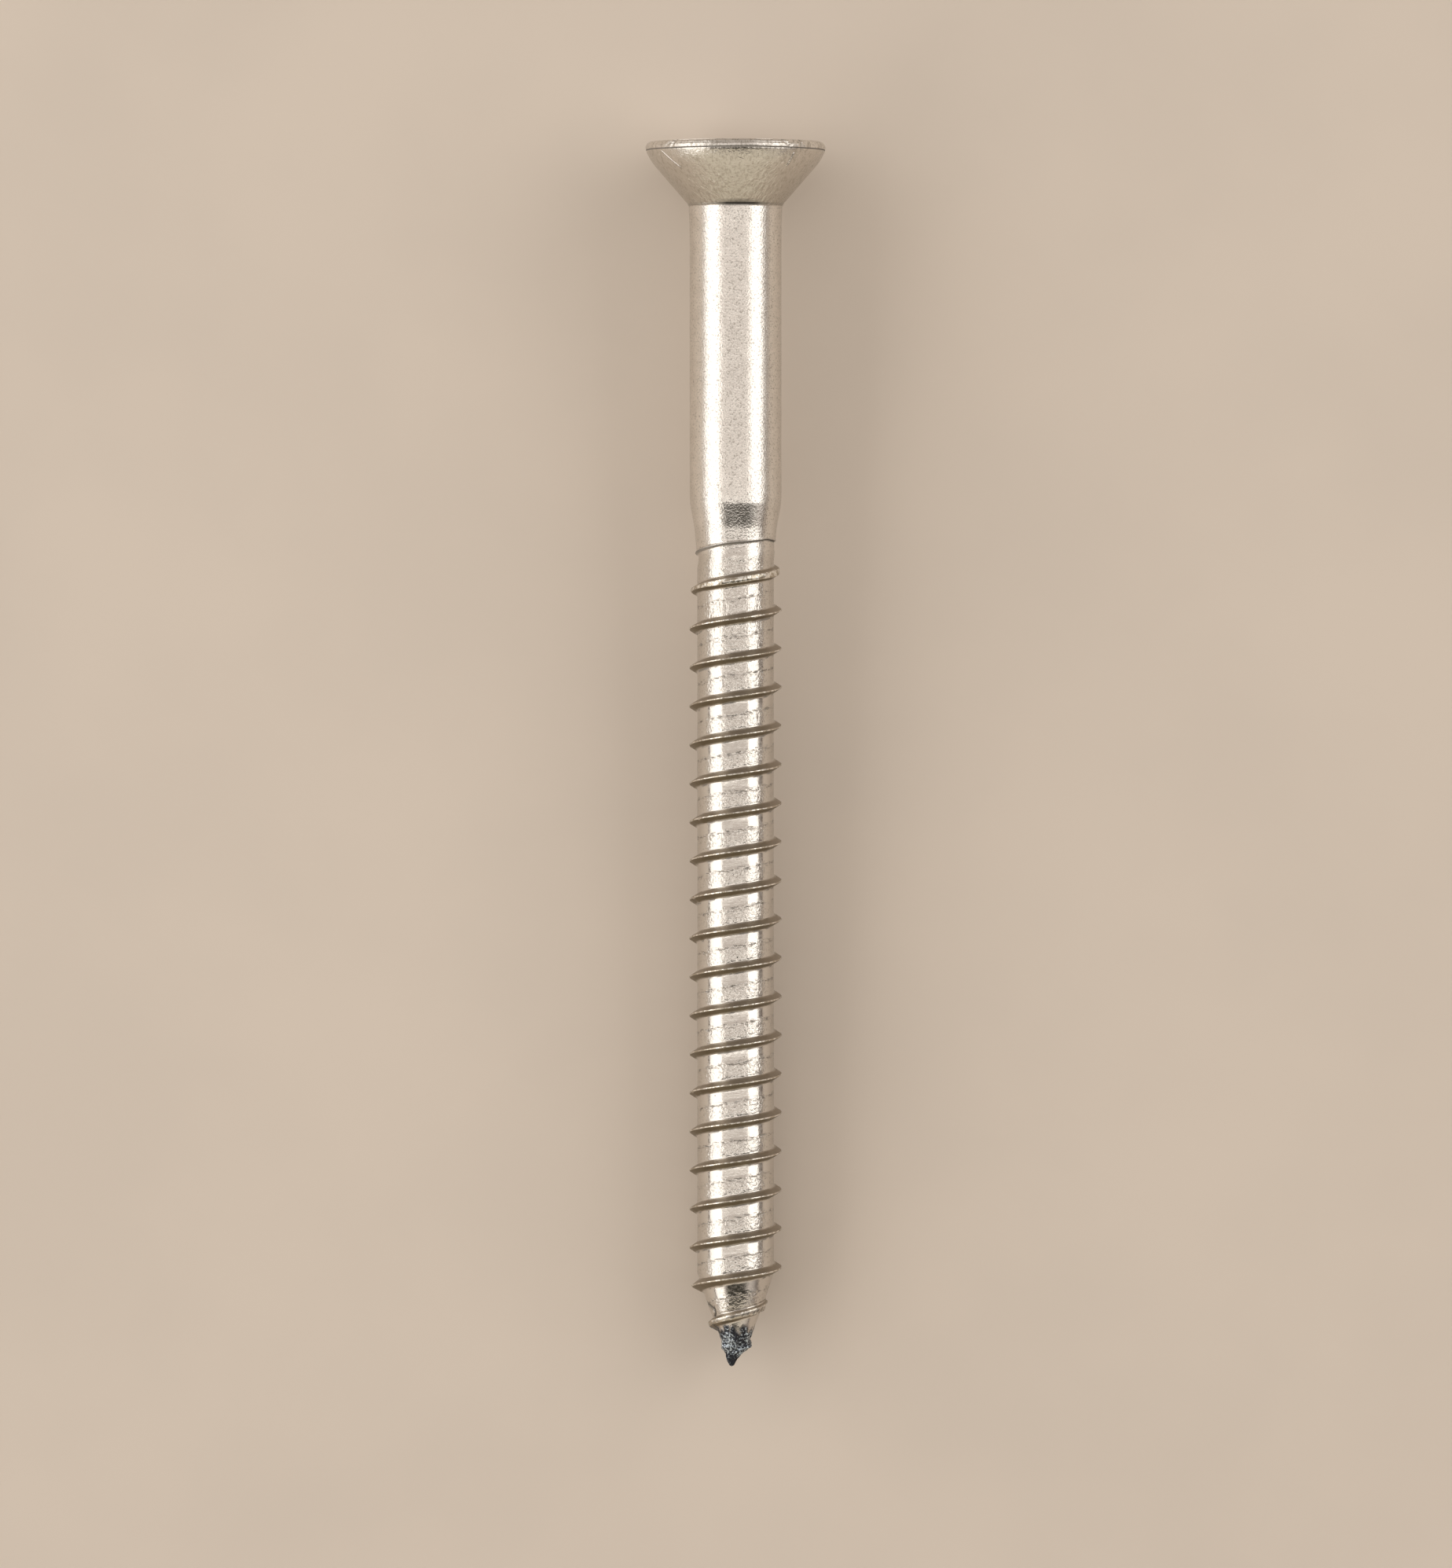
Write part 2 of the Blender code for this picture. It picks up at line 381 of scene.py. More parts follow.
class Skin:
    """Vertices and faces of the screw, in the frame's metres, with a weight for each surface kind."""

    kinds = (
        "upper",
        "lower",
        "crest",
        "root",
        "rumpled",
        "scored",
        "seam",
        "torn",
        "dark",
        # dark: real seams and cracks, and painted shade lines.
        "cone",
        "rim",
        "recess",
        "shank",
    )

    def __init__(self):
        self.points = []
        self.weights = {kind: [] for kind in self.kinds}
        self.faces = []

    def add(self, radius, angle, depth, weights):
        x = radius * math.cos(angle) + tip_drift(depth)
        self.points.append((x * MM, -depth * MM, radius * math.sin(angle) * MM))
        for kind in self.kinds:
            self.weights[kind].append(weights.get(kind, 0.0))
        return len(self.points) - 1

    def join(self, upper, lower):
        """Quads between two closed rings of the same count, the upper nearer the head."""
        count = len(upper)
        for i in range(count):
            self.faces.append((upper[i], upper[(i + 1) % count], lower[(i + 1) % count], lower[i]))

    def step_down(self, fine, coarse):
        """Triangles between a ring and a coarser one with a third of its vertices."""
        count = len(coarse)
        for i in range(count):
            a, b, c = fine[3 * i : 3 * i + 3]
            d = fine[(3 * i + 3) % len(fine)]
            near, far = coarse[i], coarse[(i + 1) % count]
            self.faces += [(a, b, near), (b, far, near), (b, c, far), (c, d, far)]

    def fan(self, ring, centre, faces_head):
        for i in range(len(ring)):
            after = (i + 1) % len(ring)
            pair = (ring[after], ring[i]) if faces_head else (ring[i], ring[after])
            self.faces.append((centre,) + pair)


def column_angle(index, count=COLUMNS):
    return SEAM + 2 * math.pi * index / count


# Head


def recess_outline(half_span, half_width, outer_round, inner_round):
    """The cross as HEAD_COLUMNS points, the same number of them on each side and corner."""
    quarter = []
    inner = half_width + inner_round
    for step in range(4):
        turned = math.radians(45 * step / 4 + 225)
        over = inner + inner_round * math.cos(turned)
        quarter.append((over, -inner - inner_round * math.sin(turned)))
    for step in range(18):
        along = inner + (half_span - outer_round - inner) * step / 18
        quarter.append((along, -half_width))
    for step in range(8):
        turned = math.radians(-90 + 90 * step / 8)
        x = half_span - outer_round + outer_round * math.cos(turned)
        quarter.append((x, -half_width + outer_round + outer_round * math.sin(turned)))
    for step in range(6):
        quarter.append((half_span, (-half_width + outer_round) * (1 - step / 6)))
    mirrored = [(x, -y) for x, y in quarter[:0:-1]]
    quarter = quarter + [(half_span, 0.0)] + mirrored
    points = []
    for turns in range(4):
        spin = math.radians(90 * turns)
        for x, y in quarter:
            turned_x = x * math.cos(spin) - y * math.sin(spin)
            points.append((turned_x, x * math.sin(spin) + y * math.cos(spin)))
    to_seam = HEAD_COLUMNS // 8
    return points[-to_seam:] + points[:-to_seam]


def mix(first, last, share):
    return first + (last - first) * share


def recess_rings(skin):
    """The recess, from its centre up to the face. Returns its ring at the face."""
    bottom = skin.add(0.0, 0.0, RECESS_POINT, {"recess": 1.0})
    levels = [(RECESS_DEPTH, 0.35), (RECESS_DEPTH, 1.0)]
    levels += [(RECESS_DEPTH * (1 - step / 8), 1.0) for step in range(1, 8)]
    levels += [(0.22, 1.0), (0.12, 1.0), (0.06, 1.0), (0.025, 1.0), (0.0, 1.0)]
    below = None
    for depth, share in levels:
        up = 1 - depth / RECESS_DEPTH
        flare = 0.12 * math.exp(-depth / 0.06)
        half_span = mix(RECESS_SPAN[1], RECESS_SPAN[0], up) + flare
        half_width = mix(RECESS_WIDTH[1], RECESS_WIDTH[0], up) + flare
        outline = recess_outline(half_span, half_width, 0.2, mix(0.12, 0.3, up))
        fall = depth if share == 1.0 else mix(RECESS_POINT, depth, share)
        ring = []
        for x, z in outline:
            radius = math.hypot(x, z) * share
            angle = math.atan2(z, x)
            uneven = 0.012 * grain(depth, angle, 0.7, 6)
            fallen = fall + uneven * (depth > 0.3)
            ring.append(skin.add(radius, angle, fallen, {"recess": ease(0.0, 0.1, depth)}))
        if below is None:
            skin.fan(ring, bottom, faces_head=True)
        else:
            skin.join(below, ring)
        below = ring
    return below


def face_rings(skin, inner):
    """The flat ring of the face, from the recess out to where the rim's rounding starts."""
    inside = [skin.points[index] for index in inner]
    for step in (0.06, 0.14, 0.28, 0.46, 0.68, 0.86, 1.0):
        ring = []
        for index, (x, _, z) in enumerate(inside):
            angle = column_angle(index, HEAD_COLUMNS)
            out_x = mix(x / MM, RIM_TOP_RADIUS * math.cos(angle), step)
            out_z = mix(z / MM, RIM_TOP_RADIUS * math.sin(angle), step)
            turned = math.atan2(out_z, out_x)
            waved = 0.008 * (1 + grain(0.0, turned, 1.4, 8)) * math.sin(math.pi * step)
            dish = 0.018 * hump(step, 0.12) + waved
            ring.append(skin.add(math.hypot(out_x, out_z), turned, dish, {"rim": 0.4}))
        skin.join(inner, ring)
        inner = ring
    return inner


def rim_marks():
    """Nicks across the rim: (angle, width, depth, slant) in radians, millimetres and radians per mm."""
    marks = [
        (math.radians(139), 0.012, 0.06, 0.28),
        (math.radians(134.5), 0.014, 0.07, 0.12),
        (math.radians(146), 0.009, 0.03, 0.05),
        (math.radians(54.5), 0.014, 0.07, -0.27),
        (math.radians(52), 0.012, 0.05, 0.2),
        (math.radians(43.8), 0.01, 0.06, 0.0),
        (math.radians(40.9), 0.009, 0.05, 0.08),
    ]
    draw = random.Random(7)
    for _ in range(26):
        angle = math.radians(draw.uniform(165, 375))
        marks.append((angle, draw.uniform(0.006, 0.016), draw.uniform(0.015, 0.05), draw.uniform(-0.2, 0.2)))
    for _ in range(14):
        angle = math.radians(draw.uniform(35, 145))
        marks.append((angle, draw.uniform(0.005, 0.01), draw.uniform(0.005, 0.02), draw.uniform(-0.3, 0.3)))
    return marks


RIM_MARKS = rim_marks()


def rim_wear(depth, angle):
    """How far the rim stands back from its true outline: waves, nicks and a ragged top edge."""
    slow = 0.012 * (1 + grain(depth, angle, 1.1, 9))
    quick = 0.01 * (1 + grain(depth, angle, 0.3, 10))
    top = hump(depth, 0.2) * (0.02 + 0.05 * clamp(0.5 + grain(0.0, angle, 0.45, 11)))
    worn = (slow + quick) * 0.6 + top
    for centre, width, cut, slant in RIM_MARKS:
        offset = half_turn(angle - centre - slant * (depth - 0.3))
        if abs(offset) < 4 * width:
            worn += cut * (hump(offset, width) - 0.5 * hump(abs(offset) - 1.8 * width, 0.5 * width))
    return max(worn, 0.0)


def rim_rings(skin, inner):
    """The rim's rounded top edge, its band, and the flash that overhangs the cone, with a line of painted
    shade under the flash.
    """
    round_radius = HEAD_RADIUS - 0.012 - RIM_TOP_RADIUS
    outline = []
    for step in range(1, 7):
        turned = math.radians(90 - 14 * step)
        outline.append((RIM_TOP_RADIUS + round_radius * math.cos(turned), 0.26 * (1 - math.sin(turned))))
    outline += [(HEAD_RADIUS - 0.002, 0.24), (HEAD_RADIUS - 0.004, 0.29), (HEAD_RADIUS - 0.009, 0.35)]
    outline += [(HEAD_RADIUS - 0.015, 0.41), (HEAD_RADIUS - 0.025, 0.435)]
    outline += [(HEAD_RADIUS - 0.07, 0.455), (HEAD_RADIUS - 0.06, 0.48)]
    for radius, depth in outline:
        ring = []
        for index in range(HEAD_COLUMNS):
            angle = column_angle(index, HEAD_COLUMNS)
            edge = 0.02 * grain(0.0, angle, 0.8, 12) * ease(0.3, 0.42, depth)
            worn = rim_wear(depth, angle) * (1 - ease(0.41, 0.47, depth))
            # The dark weight here is painted shade: a thin dark line under the flash.
            weights = {"rim": 1 - ease(0.41, 0.46, depth), "dark": hump(depth - 0.462, 0.03)}
            ring.append(skin.add(radius - worn, angle, depth + edge, weights))
        skin.join(inner, ring)
        inner = ring
    return inner


def cone_radius(depth):
    """The cone's straight line, eased into a steeper one under the rim and into the shank at the neck."""
    straight = CONE_TOP_RADIUS - (depth - CONE_TOP_DEPTH) * CONE_SLOPE
    under_rim = HEAD_RADIUS - 0.02 - (depth - RIM_BOTTOM) * 0.48
    return soft_max(-soft_max(-straight, -under_rim, 0.15), SHANK_RADIUS + NECK_FLARE, 0.16)


def cone_rings(skin, fine):
    """The cone, and the fillet where it meets the shank, with painted shade along the crease at the neck."""
    depths = [0.52, 0.62, 0.74, 0.87, 1.0, 1.12, 1.27]
    bottom = NECK_DEPTH - 0.16
    depths += [mix(1.27, bottom, step / 11) for step in range(1, 12)]
    depths += [mix(bottom, NECK_DEPTH + 0.24, step / 7) for step in range(1, 8)]
    above = fine
    for depth in depths:
        ring = []
        for index in range(COLUMNS):
            angle = column_angle(index)
            uneven = 0.012 * grain(depth, angle, 1.6, 13) * ease(0.5, 0.9, depth)
            crease = hump(depth - NECK_DEPTH + 0.07, 0.08)
            crease *= 0.012 + 0.07 * hump(half_turn(angle - CREASE_ANGLE), 0.38)
            on_cone = 1 - ease(NECK_DEPTH - 0.04, NECK_DEPTH + 0.04, depth)
            # The crease also carries painted shade: a dark line along the neck, darkest near CREASE_ANGLE.
            weights = {"cone": on_cone, "dark": clamp(crease * 24)}
            ring.append(skin.add(cone_radius(depth) + uneven - crease, angle, depth, weights))
        if len(above) == len(ring):
            skin.join(above, ring)
        else:
            skin.step_down(above, ring)
        above = ring
    return above


# Shank, thread and point


def shank_rings(skin, above, last_depth):
    start = NECK_DEPTH + 0.24
    steps = 40
    for step in range(1, steps + 1):
        depth = mix(start, last_depth, step / steps)
        ring = []
        for index in range(COLUMNS):
            angle = column_angle(index)
            flare = NECK_FLARE * math.exp(-(depth - start) / NECK_FLARE_LENGTH)
            radius = root_radius(depth) + flare + waves(depth, angle) * ease(start, start + 1, depth)
            ring.append(skin.add(radius, angle, depth, {"shank": 1.0}))
        skin.join(above, ring)
        above = ring
    return above


def row_phase(row, turn):
    """Distance along the axis from the crest to a row of the thread's grid at this turn."""
    phase = ROWS[row]
    away = abs(phase)
    side = 1.0 if phase > 0 else -1.0
    if away > 0:
        wider = between(FLAT_AT_TURN, turn) - CREST_HALF
        away += wider * clamp((0.85 - away) / 0.42)
    phase = side * away
    phase += between(LIP_SHIFT_AT_TURN, turn) * clamp(1 - away / 0.85)
    wander = lap_wander(turn if side > 0 else turn - 1)
    return phase + wander * ease(0.9, HALF_PITCH, away)


def skin_vertex(skin, depth, angle, turn, lap=0.0, shift=0.0):
    """A vertex of the skin below the head, given the turn of the crest that is nearest to it."""
    radius, weights = skin_at(depth, angle, turn, depth - crest_depth(turn) - shift, lap)
    weights["shank"] = 1 - ease(23.4, 24.2, depth)
    return skin.add(radius, angle, depth, weights)


def lap_at(row, turn):
    """How much of the seam between two turns shows at a row: it is wider where it is blotched."""
    seam_turn = turn if ROWS[row] > 0 else turn - 1
    along = seam_turn * 2 * math.pi * ROOT_RADIUS
    blotch = clamp(0.3 + 1.6 * noise.noise(Vector((along / 0.35, 51.0, 2.0))))
    across = hump(HALF_PITCH - abs(ROWS[row]), 0.016 + 0.07 * blotch)
    return lap_strength(seam_turn) * (0.3 + 0.7 * blotch) * across


def thread_vertex(skin, station, row):
    turn = FIRST_TURN + station / COLUMNS
    depth = crest_depth(turn) + row_phase(row, turn)
    shift = between(LIP_SHIFT_AT_TURN, turn)
    return skin_vertex(skin, depth, 2 * math.pi * turn, turn, lap_at(row, turn), shift)


def depth_of(skin, index):
    return -skin.points[index][1] / MM


def join_columns(skin, columns):
    """Quads between neighbouring columns, each listed from the head towards the point."""
    for left, right in zip(columns, columns[1:]):
        for row in range(len(left) - 1):
            skin.faces.append((left[row], right[row], right[row + 1], left[row + 1]))


def thread_columns(skin, above):
    """The helix's columns: each spans one pitch, and its last vertex starts the column one turn on."""
    last = THREAD_TURNS * COLUMNS
    columns = []
    for station in range(last + 1):
        rows = range(0 if station else 1, len(ROWS))
        columns.append([thread_vertex(skin, station, row) for row in rows])
    columns[0].insert(0, above[0])
    for station, column in enumerate(columns):
        if station + COLUMNS <= last:
            column.append(columns[station + COLUMNS][0])
        else:
            turn = FIRST_TURN + station / COLUMNS
            column.append(skin_vertex(skin, crest_depth(turn) + HALF_PITCH, 2 * math.pi * turn, turn))
    join_columns(skin, columns)
    return columns


def wedge_above(skin, above, columns):
    """The skin between a ring and the first turn of the helix, which start at the same vertex."""
    top = depth_of(skin, above[0])
    ends = [depth_of(skin, index) for index in columns[0]]
    made = []
    for index in range(1, COLUMNS):
        column = [above[index]]
        for end in ends[1:-1]:
            depth = mix(top, end, index / COLUMNS)
            angle = column_angle(index)
            column.append(skin_vertex(skin, depth, angle, nearest_turn(depth, angle)))
        column.append(columns[index][0])
        made.append(column)
    made.append(columns[0])
    for row in range(len(ends) - 1):
        skin.faces.append((above[0], made[0][row], made[0][row + 1]))
    join_columns(skin, made)


def wedge_below(skin, columns):
    """The skin between the helix's last turn and a ring, which end at the same vertex. Returns the ring."""
    corner = columns[-1][-1]
    bottom = depth_of(skin, corner)
    starts = [depth_of(skin, index) for index in columns[-1]]
    made = [columns[-1]]
    for index in range(1, COLUMNS):
        upper = columns[index - COLUMNS - 1][-1]
        column = [upper]
        for start in starts[1:]:
            depth = mix(start, bottom, index / COLUMNS)
            angle = column_angle(index)
            column.append(skin_vertex(skin, depth, angle, nearest_turn(depth, angle)))
        made.append(column)
    join_columns(skin, made)
    for row in range(len(starts) - 1):
        skin.faces.append((made[-1][row], corner, made[-1][row + 1]))
    return [corner] + [column[-1] for column in made[1:]]


def tip_rings(skin, above):
    start = depth_of(skin, above[0])
    for step in range(1, 9):
        depth = mix(start, LENGTH, step / 9)
        ring = []
        for index in range(COLUMNS):
            angle = column_angle(index)
            ring.append(skin_vertex(skin, depth, angle, nearest_turn(depth, angle)))
        skin.join(above, ring)
        above = ring
    skin.fan(above, skin.add(0.0, 0.0, LENGTH, {"torn": 1.0}), faces_head=False)


def build_skin():
    skin = Skin()
    top = recess_rings(skin)
    top = face_rings(skin, top)
    top = rim_rings(skin, top)
    top = cone_rings(skin, top)
    top = shank_rings(skin, top, crest_depth(FIRST_TURN) - HALF_PITCH)
    columns = thread_columns(skin, top)
    wedge_above(skin, top, columns)
    tip_rings(skin, wedge_below(skin, columns))
    return skin


def mesh_of(skin, name):
    mesh = bpy.data.meshes.new(name)
    mesh.from_pydata(skin.points, [], skin.faces)
    for kind in skin.kinds:
        attribute = mesh.attributes.new(kind, "FLOAT", "POINT")
        attribute.data.foreach_set("value", skin.weights[kind])
    mesh.shade_smooth()
    return mesh


# Materials


class Graph:
    """Short calls that add nodes to a node tree. A value is a number, a tuple or another node's output."""

    def __init__(self, tree):
        self.tree = tree
        tree.nodes.clear()

    def node(self, kind, inputs=(), **settings):
        made = self.tree.nodes.new("ShaderNode" + kind)
        for name, value in settings.items():
            setattr(made, name, value)
        for key, value in dict(inputs).items():
            self.put(made.inputs[key], value)
        return made

    def put(self, socket, value):
        if isinstance(value, bpy.types.NodeSocket):
            self.tree.links.new(value, socket)
        else:
            socket.default_value = value

    def math(self, operation, a, b=0.0):
        return self.node("Math", {0: a, 1: b}, operation=operation).outputs[0]

    def times(self, a, b):
        return self.math("MULTIPLY", a, b)

    def plus(self, a, b):
        return self.math("ADD", a, b)

    def share(self, value, low, high, at_low=0.0, at_high=1.0):
        """value eased from (low, high) to (at_low, at_high), and kept between them."""
        inputs = {"Value": value, "From Min": low, "From Max": high, "To Min": at_low, "To Max": at_high}
        return self.node("MapRange", inputs, interpolation_type="SMOOTHSTEP").outputs["Result"]

    def band(self, value, rise, full, fade, gone):
        """1 between full and fade, eased to 0 at rise and at gone."""
        return self.times(self.share(value, rise, full), self.share(value, fade, gone, 1.0, 0.0))

    def largest(self, first, *others):
        for other in others:
            first = self.math("MAXIMUM", first, other)
        return first

    def weight(self, kind):
        return self.node("Attribute", attribute_name=kind).outputs["Fac"]

    def noise(self, place, scale, detail=2.0, stretch=(1.0, 1.0, 1.0)):
        moved = self.node("Mapping", {"Vector": place, "Scale": stretch}).outputs[0]
        return self.node("TexNoise", {"Vector": moved, "Scale": scale, "Detail": detail}).outputs["Fac"]

    def colours(self, share, first, last, mode="MIX"):
        made = self.node("Mix", data_type="RGBA", blend_type=mode)
        self.put(made.inputs["Factor"], share)
        self.put(made.inputs[6], first)
        self.put(made.inputs[7], last)
        return made.outputs[2]

    def numbers(self, share, first, last):
        return self.node("Mix", {0: share, 2: first, 3: last}).outputs[0]


def tone(red, green, blue):
    return (red, green, blue, 1.0)


# Colours of the steel, and of the painted shade and painted highlights on it.
SHANK_TONES = (tone(0.74, 0.705, 0.66), tone(0.81, 0.775, 0.73))
ROOT_TONE = tone(0.68, 0.645, 0.60)
FLECK_TONE = tone(0.30, 0.275, 0.235)
# Painted shade on the cone.
CONE_SHADE_TONE = tone(0.46, 0.42, 0.35)
# Painted highlights: pale glints on the cone.
PAINTED_GLINT_TONE = tone(0.95, 0.92, 0.88)
# Painted shade on the thread's flanks, darker on the lower flank.
UPPER_FLANK_SHADE_TONE = tone(0.40, 0.345, 0.28)
LOWER_FLANK_SHADE_TONE = tone(0.22, 0.18, 0.12)
CREST_TONES = (tone(0.50, 0.45, 0.37), tone(0.95, 0.93, 0.88))
STAIN_TONE = tone(0.33, 0.30, 0.25)
TORN_TONES = (tone(0.04, 0.042, 0.05), tone(0.16, 0.18, 0.21), tone(0.60, 0.68, 0.74))
# Painted shade in the recess.
RECESS_SHADE_TONE = tone(0.36, 0.34, 0.31)
# Near black for pits, seams and cracks, and for painted shade lines.
PITS_SEAMS_AND_SHADE_TONE = tone(0.045, 0.04, 0.035)
SCRATCH_TONE = tone(0.97, 0.94, 0.90)

# Stretches along the screw, as heights on Y in millimetres: the shoulder, and the paler torn metal.
SHOULDER_BAND = (-24.0, -23.3, -21.3, -20.8)
BRIGHT_BAND = (-72.5, -72.1, -71.5, -70.9)

# Marks on the cone: angle from straight up towards +X and depth at each end, and half width.
LEFT_STROKE = (math.radians(-57.3), 0.62, math.radians(-46), 1.61, 0.09)
RIGHT_STROKE = (math.radians(41), 0.79, math.radians(39.6), 1.55, 0.09)
PIT_STROKE = (math.radians(1.0), 1.08, math.radians(4.5), 1.19, 0.08)


def cone_stroke(graph, turned, height, wobble, stroke):
    """A thin mark on the cone, as a mask. Its line wanders a little with the wobble."""
    first_angle, first_depth, last_angle, last_depth, half_width = stroke
    slant = (last_angle - first_angle) / (last_depth - first_depth)
    line = graph.plus(graph.times(height, -slant), first_angle - slant * first_depth)
    line = graph.plus(line, graph.times(wobble, 0.03))
    offset = graph.math("ABSOLUTE", graph.math("SUBTRACT", turned, line))
    across = graph.share(offset, half_width / CONE_TOP_RADIUS, 0.0)
    starts = graph.share(height, -first_depth + 0.06, -first_depth - 0.06)
    stops = graph.share(height, -last_depth - 0.06, -last_depth + 0.06)
    return graph.times(across, graph.times(starts, stops))


def steel_fields(graph):
    """What the steel's colour, roughness and relief share: places, surface weights, noises and marks."""
    place = graph.node("TexCoord").outputs["Object"]
    place = graph.node("VectorMath", {0: place, 3: 1 / MM}, operation="SCALE").outputs[0]
    parts = graph.node("SeparateXYZ", {0: place}).outputs
    turned = graph.math("ARCTAN2", parts["X"], parts["Z"])
    around = graph.times(turned, ROOT_RADIUS)
    unrolled = graph.node("CombineXYZ", {"X": around, "Y": parts["Y"]}).outputs[0]
    field = {kind: graph.weight(kind) for kind in Skin.kinds}
    field["height"] = parts["Y"]
    field["speckle"] = graph.noise(place, 9.0, 3.0)
    field["cloud"] = graph.noise(place, 1.3, 2.0)
    field["mottle"] = graph.noise(place, 5.5, 3.0)
    field["scratch"] = graph.noise(place, 6.0, 2.0, (1.0, 0.2, 1.0))
    field["score"] = graph.noise(unrolled, 6.0, 2.0, (1.0, 0.16, 1.0))
    field["drawn"] = graph.noise(unrolled, 5.0, 2.0, (0.2, 1.6, 1.0))
    field["beads"] = graph.share(graph.noise(place, 4.5, 2.0), 0.42, 0.62)
    field["dashes"] = graph.share(graph.noise(unrolled, 3.6, 3.0, (0.7, 2.2, 1.0)), 0.54, 0.64)
    field["streaks"] = graph.noise(unrolled, 6.0, 3.0, (1.0, 0.45, 1.0))
    field["crystals"] = graph.noise(place, 9.0, 4.0)
    field["pits"] = graph.share(graph.noise(place, 3.4, 2.0), 0.75, 0.79)
    field["shoulder"] = graph.band(parts["Y"], *SHOULDER_BAND)
    strokes = []
    for stroke in (PIT_STROKE, LEFT_STROKE, RIGHT_STROKE):
        strokes.append(cone_stroke(graph, turned, parts["Y"], field["streaks"], stroke))
    field["pit"] = strokes[0]
    field["scratched"] = graph.largest(strokes[1], strokes[2])
    return field


def base_colour(graph, field):
    """Clouded, flecked steel: a plain shank, a cleaner root, and a cone with painted shade, darker towards
    the neck, and painted glints.
    """
    root, cone = field["root"], field["cone"]
    colour = graph.colours(graph.share(field["cloud"], 0.3, 0.7), *SHANK_TONES)
    colour = graph.colours(root, colour, ROOT_TONE)
    marked = graph.numbers(root, 0.6, graph.times(field["rumpled"], 0.5))
    marked = graph.times(marked, graph.share(cone, 0.0, 1.0, 1.0, 0.45))
    flecks = graph.share(field["speckle"], 0.54, 0.68)
    colour = graph.colours(graph.times(flecks, marked), colour, FLECK_TONE)
    # Painted shade: the cone is darkened, more towards the neck.
    shaded = graph.times(cone, graph.share(field["height"], -0.6, -3.6, 0.3, 0.55))
    colour = graph.colours(shaded, colour, CONE_SHADE_TONE)
    # Painted highlights: pale glints on the cone where the streak noise peaks.
    painted_glints = graph.times(graph.times(graph.share(field["streaks"], 0.63, 0.7), cone), 0.35)
    return graph.colours(painted_glints, colour, PAINTED_GLINT_TONE)


def thread_colour(graph, field, colour):
    """Adds painted shade on the flanks, darker on the lower flank, and the bright, beaded line along the
    crest.
    """
    # Painted shade on the flanks, darker on the lower one.
    colour = graph.colours(field["upper"], colour, UPPER_FLANK_SHADE_TONE)
    colour = graph.colours(field["lower"], colour, LOWER_FLANK_SHADE_TONE)
    crest_colour = graph.colours(field["beads"], *CREST_TONES)
    return graph.colours(graph.share(field["crest"], 0.3, 0.9), colour, crest_colour)


def torn_colour(graph, field):
    """Blue-grey torn metal, paler on its swollen middle."""
    frosted = graph.plus(graph.times(field["crystals"], 0.7), graph.times(field["cloud"], 0.3))
    bright_end = graph.band(field["height"], *BRIGHT_BAND)
    frosted = graph.plus(frosted, graph.numbers(bright_end, -0.035, 0.02))
    dark, middle, light = TORN_TONES
    colour = graph.colours(graph.share(frosted, 0.48, 0.53), dark, middle)
    return graph.colours(graph.share(frosted, 0.53, 0.6), colour, light)


def mark_colour(graph, field, colour):
    """Adds stains, the torn point, the recess's painted shade, dark pits, seams, cracks and painted shade
    lines, and the cone's bright scratches.
    """
    stained = graph.share(field["scratch"], 0.5, 0.68)
    stained = graph.times(stained, graph.numbers(field["rim"], 0.4, 0.6))
    stained = graph.times(graph.largest(field["cone"], field["rim"]), stained)
    colour = graph.colours(stained, colour, STAIN_TONE)
    colour = graph.colours(field["torn"], colour, torn_colour(graph, field))
    # Painted shade in the recess.
    colour = graph.colours(graph.times(field["recess"], 0.5), colour, RECESS_SHADE_TONE)
    pitted = graph.times(graph.times(field["pits"], 0.7), field["shank"])
    dashed = graph.times(graph.times(field["dashes"], field["seam"]), 0.6)
    # The dark weight holds real seams and cracks, and painted shade lines under the rim, at the neck, below
    # the lip and along the ridge's foot.
    pits_seams_and_shade = graph.largest(graph.times(field["dark"], 0.92), pitted, dashed, field["pit"])
    colour = graph.colours(pits_seams_and_shade, colour, PITS_SEAMS_AND_SHADE_TONE)
    return graph.colours(field["scratched"], colour, SCRATCH_TONE)


def steel_roughness(graph, field):
    rough = graph.share(field["speckle"], 0.3, 0.7, 0.15, 0.27)
    rough = graph.numbers(field["shoulder"], rough, 0.2)
    rough = graph.numbers(field["root"], rough, graph.share(field["mottle"], 0.35, 0.7, 0.1, 0.24))
    flank = graph.plus(field["upper"], field["lower"])
    rough = graph.numbers(graph.largest(flank, graph.times(field["rim"], 0.5)), rough, 0.4)
    rough = graph.numbers(field["torn"], rough, 0.42)
    return graph.numbers(field["dark"], rough, 0.7)


